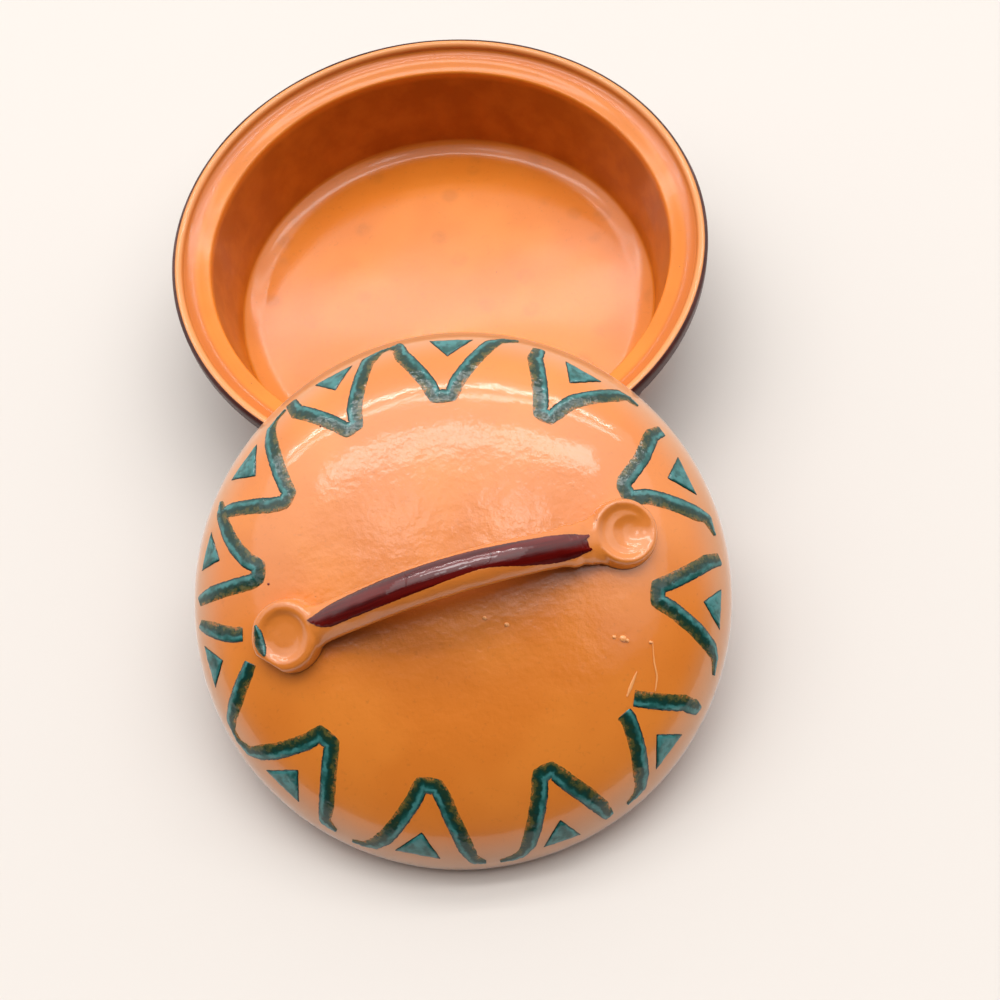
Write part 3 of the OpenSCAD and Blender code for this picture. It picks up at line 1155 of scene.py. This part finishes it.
@dataclass
class Marks:
    """What the firing left on the lid: pimples and thin runs of clear glaze, and dark specks."""

    lid: Lid
    clay: Piece
    sunk: float = 0.3
    oval: float = 0.85
    skew: float = 0.4
    stray: float = 0.03
    seed: int = 3

    def lumps(self, name: str, spots: list[tuple[float, float, float, float]]) -> Piece:
        """Models small round lumps on the dome.

        Args:
            name: The piece's name.
            spots: For each lump two places on the lid, a radius and a height, in millimetres.

        Returns:
            The lumps, in the lid's frame.
        """
        piece = start_piece(name)
        for x, y, radius, height in spots:
            centre = Vector((x, y, self.lid.height_at(math.hypot(x, y)) - self.sunk)) * MM
            bpy.ops.mesh.select_all(action="DESELECT")
            bpy.ops.mesh.primitive_uv_sphere_add(segments=24, ring_count=12, radius=radius * MM, location=centre)
            bpy.ops.transform.resize(value=(1, self.oval, (height + self.sunk) / radius), center_override=centre)
            bpy.ops.transform.rotate(value=self.skew, orient_axis="Z", center_override=centre)
        bpy.ops.mesh.select_all(action="SELECT")
        bpy.ops.transform.vertex_random(offset=self.stray * MM, uniform=0, normal=0, seed=self.seed)
        bpy.ops.object.mode_set(mode="OBJECT")
        smooth(piece, turn=80)
        return piece

    @staticmethod
    def swelling(run: float) -> float:
        """The share of the full thickness across a thin run of glaze, which swells in the middle."""
        return 1.02 - run * run

    def runs(self) -> Piece:
        """Models the thin runs of clear glaze.

        Returns:
            The runs, in the lid's frame.
        """

        def at(x: float, y: float) -> Vector:
            """The place over the dome at two shares of its radius."""
            return Vector((x * self.lid.outer_r, y * self.lid.outer_r, self.lid.over)) * MM

        shares = [
            [(.603, -.355, .3), (.590, -.380, .8), (.575, -.410, 1), (.560, -.438, .4)],
            [(.668, -.255, .3), (.667, -.300, .4), (.667, -.331, .5), (.674, -.377, .6), (.661, -.427, .3)],
        ]
        brush = Brush(width=1.3, thick=0.3, cuts=3, ragged=0.04, seed=5, profile=self.swelling, lumps=0.05)
        return brush.lay("lid_glaze_runs", [brushed(dabs, at, 1.0 * MM) for dabs in shares], self.clay)

    def build(self) -> None:
        """Models and dresses the marks."""
        pimples = self.lumps(
            "lid_glaze_pimples",
            [(10.1, -14.1, 0.9, 0.6), (18.1, -17.2, 1.0, 0.6), (60.7, -25.6, 1.5, 0.7), (62.2, -26.4, 0.9, 0.5),
             (71.0, -27.7, 0.7, 0.4), (57.5, -24.8, 0.9, 0.35)],
        )
        specks = self.lumps(
            "lid_dark_specks", [(-63.7, 45.3, 0.7, 0.1), (-71.3, 6.9, 0.6, 0.1), (-48.0, 67.3, 0.6, 0.1)]
        )
        # Paler than the clay: partly the clear glaze's own paler tone, partly a painted highlight on the lumps and
        # runs.
        clear = GlazedClay(light=(0.92, 0.40, 0.13), deep=(0.86, 0.33, 0.09), wave=0.02).make("clear_glaze_lumps")
        dark = DarkGlaze(Matrix.Identity(4)).make("speck_glaze")
        for piece, finish, slot in (
            (pimples, clear, Slot.TERRACOTTA),
            (self.runs(), clear, Slot.TERRACOTTA),
            (specks, dark, Slot.DARK_GLAZE),
        ):
            place(piece, self.lid.rest)
            dress(piece, finish, slot, Body.COVER)


@dataclass(frozen=True)
class Pad:
    """One end of the strap, set down on the dome and dished with a thumb."""

    side: int
    radius: float
    hollow: float
    steps: int = 96

    def outline(self) -> list[Point]:
        """The pad's outline: the thumb's hollow, the rim, the side and the foot.

        Returns:
            Distances from the pad's middle and heights, in millimetres.
        """
        hollow = self.hollow
        shares = [
            (0, .35), (hollow - .35, .345), (hollow - .16, .37), (hollow - .08, .42), (hollow, .46),
            (hollow + .06, .465), (.91, .44), (.965, .37), (1, .25), (1.015, .10), (1.03, 0), (1.035, -.09), (0, -.09),
        ]
        return [(r * self.radius, z * self.radius) for r, z in shares]

    def model(self, lid: Lid, reach: float) -> Piece:
        """Turns the pad and sets it down on the dome.

        Args:
            lid: The lid.
            reach: How far the pad lies from the lid's axis, in millimetres.

        Returns:
            The pad, in the handle's frame.
        """
        piece = turned(f"pad_{self.side}", self.outline(), self.steps)
        seat = Vector((self.side * reach, 0, lid.height_at(reach))) * MM
        place(piece, Matrix.Translation(seat) @ Matrix.Rotation(self.side * lid.slope_at(reach), 4, "Y"))
        return piece


def strap_glaze_shares() -> list[list[Dab]]:
    """The brush's ways along the strap: shares of half the span, of half the strap's width and of its width."""
    return [
        [(-.86, .34, .02), (-.84, .30, .17), (-.80, .12, .40), (-.73, .12, .57), (-.64, .18, .59), (-.38, .26, .65),
         (-.15, .30, .63), (0, .34, .58), (.17, .37, .51), (.27, .28, .55), (.40, .12, .65), (.56, -.03, .73),
         (.66, -.08, .69), (.73, -.11, .61), (.77, -.08, .50), (.79, -.07, .34)],
        [(.74, .16, .22), (.78, .20, .16), (.81, .22, .05)],
        [(.74, -.42, .20), (.78, -.46, .14), (.80, -.47, .05)],
    ]


def crack_shares() -> list[list[Dab]]:
    """The ways of the fine cracks over the strap, in the same shares."""
    return [
        [(-.248, .10, .4), (-.240, .30, 1), (-.226, .52, 1), (-.238, .80, .5)],
        [(-.226, .52, .8), (-.190, .68, 1), (-.144, .78, .4)],
        [(.243, .74, .5), (.252, .37, 1), (.229, .07, 1), (.194, 0, .4)],
    ]


def spot_shares() -> list[list[Dab]]:
    """The way of the drop of green glaze on the left pad, in the same shares."""
    return [[(-1.165, .97, .2), (-1.165, .6, .8), (-1.17, .14, 1), (-1.165, -.4, .8), (-1.16, -.69, .2)]]


@dataclass
class Strap:
    """The pulled handle with its two thumbed pads, the dark glaze along it, and its small marks."""

    lid: Lid
    span: float = 131.0
    width: float = 14.5
    turn: float = 12.0
    cut: float = 9.0
    over: float = 20.0
    pads: tuple[Pad, Pad] = (Pad(-1, 13.9, 0.72), Pad(1, 13.2, 0.82))
    trim_turn: float = -137.0
    trim_reach: float = 12.6
    thumb_r: float = 14.0
    thumb_at: Triple = (6.0, -0.6, 16.0)
    press_inset: float = 17.0
    neck_inset: float = 9.0
    press_half: float = 1.5
    voxel: float = 0.55
    worked: Point = (0.3, 8.0)
    seam_h: float = 1.6
    seam_fall: float = 1.2
    glaze_step: float = 2.0
    mark_step: float = 0.8

    def __post_init__(self) -> None:
        """Works out the handle's own frame, with x along the strap."""
        self.frame = self.lid.rest @ Matrix.Rotation(math.radians(self.turn), 4, "Z")

    def above(self, x: float, y: float) -> Vector:
        """The point over the handle at shares of half its span and half its width, in metres."""
        return Vector((x * self.span / 2, y * self.width / 2, self.lid.over + self.over)) * MM

    def copied(self, node: Piece) -> Piece:
        """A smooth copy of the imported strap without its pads, in the handle's frame.

        Args:
            node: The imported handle.

        Returns:
            The copy, closed at both ends.
        """
        select_only(node)
        bpy.ops.object.duplicate()
        piece = bpy.context.active_object
        piece.name = piece.data.name = "strap_handle"
        for key in [k for k in piece.keys() if k.startswith("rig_")]:
            del piece[key]
        piece.parent = None
        place(piece, self.frame.inverted())
        bpy.ops.object.mode_set(mode="EDIT")
        bpy.ops.mesh.select_all(action="SELECT")
        bpy.ops.mesh.remove_doubles(threshold=MM / 100)
        bpy.ops.mesh.tris_convert_to_quads(face_threshold=math.radians(40), shape_threshold=math.radians(60))
        bpy.ops.mesh.normals_make_consistent(inside=False)
        bpy.ops.object.mode_set(mode="OBJECT")
        apply_modifier(piece, "SUBSURF", levels=1, render_levels=1)
        bpy.ops.object.mode_set(mode="EDIT")
        for side in (-1, 1):
            cut_off(Vector((side * (self.span / 2 - self.cut), 0, 0)) * MM, Vector((side, 0, 0)))
        bpy.ops.object.mode_set(mode="OBJECT")
        return piece

    def pressed(self, strap: Piece, inset: float, ratio: float, reach: float) -> None:
        """Widens or pinches the strap near its right pad.

        Args:
            strap: The strap.
            inset: Where, in millimetres from the middle of the pad.
            ratio: How much wider it gets there.
            reach: How far along the strap this fades out, in millimetres.
        """
        for vertex in strap.data.vertices:
            vertex.select = abs(vertex.co.x - (self.span / 2 - inset) * MM) < self.press_half * MM
        bpy.ops.object.mode_set(mode="EDIT")
        bpy.ops.transform.resize(
            value=(1, ratio, 1),
            center_override=Vector((self.span / 2, 0, 0)) * MM,
            use_proportional_edit=True,
            proportional_edit_falloff="SMOOTH",
            proportional_size=reach * MM,
        )
        bpy.ops.object.mode_set(mode="OBJECT")

    def trim(self, pad: Piece) -> None:
        """Cuts the outer side of the left pad straight.

        Args:
            pad: The left pad.
        """
        turn = math.radians(self.trim_turn)
        across = Vector((math.cos(turn), math.sin(turn), 0))
        middle = Vector((-self.span / 2, 0, self.lid.height_at(self.span / 2))) * MM
        select_only(pad)
        bpy.ops.object.mode_set(mode="EDIT")
        cut_off(middle + across * self.trim_reach * MM, across)
        bpy.ops.object.mode_set(mode="OBJECT")

    def press_thumb(self, pad: Piece) -> None:
        """Presses a thumb into the right pad, beside its middle.

        Args:
            pad: The right pad.
        """
        x, y, z = self.thumb_at
        spot = Vector((self.span / 2 + x, y, self.lid.height_at(self.span / 2) + z)) * MM
        bpy.ops.object.select_all(action="DESELECT")
        bpy.ops.mesh.primitive_uv_sphere_add(segments=64, ring_count=32, radius=self.thumb_r * MM, location=spot)
        thumb = bpy.context.active_object
        apply_modifier(pad, "BOOLEAN", operation="DIFFERENCE", object=thumb, solver="EXACT")
        bpy.data.objects.remove(thumb)

    def shape(self, node: Piece) -> Piece:
        """Joins the strap and its pads into one piece of clay.

        Args:
            node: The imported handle.

        Returns:
            The clay, in the handle's frame.
        """
        strap = self.copied(node)
        self.pressed(strap, self.press_inset, ratio=1.3, reach=9)
        self.pressed(strap, self.neck_inset, ratio=0.84, reach=4)
        left, right = (pad.model(self.lid, self.span / 2) for pad in self.pads)
        self.trim(left)
        self.press_thumb(right)
        select_only(strap)
        left.select_set(True)
        right.select_set(True)
        bpy.ops.object.join()
        apply_modifier(strap, "REMESH", mode="VOXEL", voxel_size=self.voxel * MM, use_smooth_shade=True)
        apply_modifier(strap, "SMOOTH", factor=0.5, iterations=5)
        hand_worked(strap, *self.worked)
        smooth(strap, turn=50)
        # Paints the shade of the underside and the contact shadow of the seam on the points.
        paint(strap, "under", [self.painted_shade_at(vertex) for vertex in strap.data.vertices])
        return strap

    def painted_shade_at(self, vertex: bpy.types.MeshVertex) -> float:
        """How much painted shade the clay gets at a point: on the strap's underside, which faces away from the light,
        and where a contact shadow falls in its near seam with the dome.

        Args:
            vertex: The point.

        Returns:
            1 where it is darkest, 0 in the open.
        """
        over = vertex.co.z / MM - self.lid.height_at(vertex.co.to_2d().length / MM)
        seam = clamped((self.seam_h - over) / self.seam_fall) * clamped(-2 * vertex.normal.y)
        return max(seam, clamped((0.05 - vertex.normal.z) / 0.4))

    def glaze(self, strap: Piece) -> Piece:
        """Models the dark glaze brushed along the strap.

        Args:
            strap: The clay.

        Returns:
            The glaze, in the handle's frame.
        """
        brush = Brush(self.width, thick=0.5, cuts=5, ragged=0.22, seed=4, profile=rounded(1.04, 0.25), lumps=0.08)
        long, *short = strap_glaze_shares()
        ways = [brushed(long, self.above, self.glaze_step * MM)]
        ways += [brushed(dabs, self.above, 0.75 * self.glaze_step * MM) for dabs in short]
        return brush.lay("strap_dark_coat", ways, strap)

    def thin_marks(self, name: str, shares: list[list[Dab]], width: float, cuts: int, ground: Piece) -> Piece:
        """Models narrow marks that lie on the strap or a pad.

        Args:
            name: The piece's name.
            shares: The dabs of each mark.
            width: Their full width, in millimetres.
            cuts: How often their edges are cut.
            ground: The clay or the glaze under them.

        Returns:
            The marks, in the handle's frame.
        """
        brush = Brush(width, width / 8, cuts, ragged=width / 14, seed=6, profile=rounded(1.04, 0.5))
        return brush.lay(name, [brushed(dabs, self.above, self.mark_step * MM, passes=1) for dabs in shares], ground)

    def build(self, node: Piece) -> None:
        """Models and dresses the handle, its glaze and its marks.

        Args:
            node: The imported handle.
        """
        strap = self.shape(node)
        coat = self.glaze(strap)
        cracks = self.thin_marks("strap_cracks", crack_shares(), width=0.7, cuts=2, ground=coat)
        spot = self.thin_marks("pad_glaze_spot", spot_shares(), width=4.2, cuts=5, ground=strap)
        # The strap's clay gets painted shade on its underside and in its seam with the dome.
        clay = GlazedClay(light=(0.74, 0.215, 0.026), deep=(0.62, 0.165, 0.016), gloss=0.09, painted_shade=True)
        maroon = DarkGlaze(self.frame, stretch=(0.035, 1, 0.15), flank=0.08)
        for piece, finish, slot, replaced in (
            (strap, clay.make("strap_glazed_clay"), Slot.TERRACOTTA, "handle"),
            (coat, maroon.make("strap_dark_glaze"), Slot.DARK_GLAZE, "handle_glaze"),
            (cracks, DarkGlaze(self.frame).make("crack_glaze"), Slot.DARK_GLAZE, None),
            (spot, GreenGlaze().make("pad_spot_glaze"), Slot.GREEN_GLAZE, None),
        ):
            place(piece, self.frame)
            dress(piece, finish, slot, Body.COVER, replaced)


# The room, the lamps and the camera


class LampShape(Enum):
    """The outlines that a lamp may have."""

    PANEL = "RECTANGLE"
    ROUND = "DISK"


@dataclass(frozen=True)
class Lamp:
    """One soft lamp that hangs level over the table."""

    name: str
    shape: LampShape
    at: Triple
    size: Point
    power: float

    def hang(self) -> None:
        """Adds the lamp to the scene."""
        bpy.ops.object.light_add(type="AREA", location=self.at)
        lamp = bpy.context.active_object
        lamp.name = self.name
        lamp.data.shape = self.shape.value
        lamp.data.size = self.size[0]
        if self.shape is LampShape.PANEL:
            lamp.data.size_y = self.size[1]
        lamp.data.energy = self.power


@dataclass
class Studio:
    """A plain pale table, soft light from above and behind, and the photograph's camera."""

    camera_at: Triple = (35.1, -420.0, 580.3)
    azimuth: float = -3.29
    elevation: float = 61.35
    roll: float = -8.07
    lens: float = 54.0
    sensor: float = 36.0
    floor_half: float = 8.0
    floor_colour: Colour = (0.735, 0.68, 0.632)
    room_low: float = 0.07
    room_high: float = 1.0
    room_edge: Point = (-0.25, 0.15)
    backdrop: Colour = (0.90, 0.86, 0.82)

    def set_camera(self) -> None:
        """Places the camera where the photograph was taken from."""
        across, up = math.radians(self.azimuth), math.radians(self.elevation)
        ahead = Vector((math.sin(across) * math.cos(up), math.cos(across) * math.cos(up), -math.sin(up)))
        level = Vector((math.cos(across), -math.sin(across), 0))
        tilt = math.radians(self.roll)
        right = level * math.cos(tilt) + level.cross(ahead) * math.sin(tilt)
        columns = (right, right.cross(ahead), -ahead)
        bpy.ops.object.camera_add()
        camera = bpy.context.active_object
        camera.matrix_world = Matrix.Translation(Vector(self.camera_at) * MM) @ Matrix(columns).transposed().to_4x4()
        camera.data.sensor_width = self.sensor
        camera.data.lens = self.lens
        camera.data.clip_start = 0.01
        bpy.context.scene.camera = camera

    def set_table(self) -> None:
        """Lays the pale table."""
        bpy.ops.mesh.primitive_plane_add(size=2 * self.floor_half)
        table = bpy.context.active_object
        table.name = "table"
        recipe = Recipe("pale_table")
        recipe.set(Base_Color=(*self.floor_colour, 1), Roughness=0.9, Specular_IOR_Level=0.1)
        table.data.materials.append(recipe.material)

    def set_room(self) -> None:
        """Lights the room evenly, brighter on the far side, and shows the camera a plain pale backdrop."""
        world = bpy.data.worlds.new("room")
        world.use_nodes = True
        nodes = Nodes(world.node_tree, "Generated")
        room = nodes.ramp(nodes.along("Y"), *self.room_edge, self.room_low, self.room_high)
        seen = nodes.add("LightPath", {}).outputs["Is Camera Ray"]
        colour = nodes.mix(seen, room, self.backdrop)
        nodes.tree.links.new(colour, nodes.tree.nodes["Background"].inputs["Color"])
        bpy.context.scene.world = world
        bpy.context.scene.view_settings.view_transform = "Standard"

    def set_lights(self) -> None:
        """Hangs the lamps."""
        for lamp in (
            Lamp("ceiling_panel", LampShape.PANEL, (-0.4, 1.6, 6.0), (14.4, 6.9), 275.0),
            Lamp("ceiling_beam", LampShape.PANEL, (0.0, 1.75, 5.97), (6.8, 0.8), 98.0),
            Lamp("ceiling_heart", LampShape.ROUND, (0.8, -0.4, 5.96), (0.9, 0.9), 10.0),
            Lamp("ceiling_side", LampShape.ROUND, (-1.3, -0.2, 5.95), (1.0, 1.0), 6.0),
            Lamp("side_wide", LampShape.ROUND, (4.3, -2.1, 6.0), (4.6, 4.6), 24.0),
            Lamp("side_middle", LampShape.ROUND, (4.3, -2.1, 5.98), (3.0, 3.0), 11.0),
            Lamp("far_strip", LampShape.PANEL, (-0.4, 4.35, 5.98), (11.5, 0.12), 120.0),
            Lamp("middle_strip", LampShape.PANEL, (-0.4, 3.62, 5.98), (11.5, 0.15), 58.0),
        ):
            lamp.hang()


def resting_place(dish: Dish, lid_r: float, edge_r: float, chord: float = 141.0, gap: float = 0.4) -> Matrix:
    """Where the lid lies: its near edge on the table, its rim over the lip at two points.

    Args:
        dish: The dish that it leans on.
        lid_r: The lid's outer radius.
        edge_r: The radius of the lid's edge.
        chord: The distance between the two points.
        gap: The clearance at them.

    Returns:
        The place and turn of the lid's own frame, in metres.
    """
    core_r, lip_core_r = lid_r - edge_r, dish.rim_r - dish.lip_round
    reach, stack = dish.height - dish.lip_round - edge_r, edge_r + dish.lip_round + gap
    slope = core_r + math.sqrt(core_r**2 - chord**2 / 4)
    tilt = 0.0
    for _ in range(3):
        tilt = math.asin((reach + stack / math.cos(tilt)) / slope)
    back = (reach + stack / math.cos(tilt)) / math.tan(tilt) - core_r * math.cos(tilt)
    back += math.sqrt(lip_core_r**2 - chord**2 / 4)
    lift = edge_r + core_r * math.sin(tilt)
    turn = Matrix.Rotation(tilt, 4, "X")
    return Matrix.Translation((0, -back * MM, lift * MM)) @ turn @ Matrix.Translation((0, 0, -edge_r * MM))


def measured(node: str) -> Point:
    """The radius of a packed round node and the height of its top, in millimetres."""
    low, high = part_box(node)
    return (high.x - low.x) / 2 / MM, high.z / MM


def main() -> None:
    """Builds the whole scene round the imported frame."""
    logging.basicConfig(level=logging.INFO, format="%(message)s")
    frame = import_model()
    studio = Studio()
    studio.set_camera()
    studio.set_table()
    studio.set_room()
    studio.set_lights()
    dish = Dish(*measured("bowl"))
    dish.build()
    lid_r, _ = measured("lid")
    lid = Lid(lid_r, resting_place(dish, lid_r, Lid.wall / 2))
    clay = lid.model()
    strap = Strap(lid)
    Brushwork(lid, clay).build()
    Marks(lid, clay).build()
    lid.lay_down(clay, strap.frame)
    strap.build(frame["nodes"]["handle"])


if __name__ == "__main__":
    main()
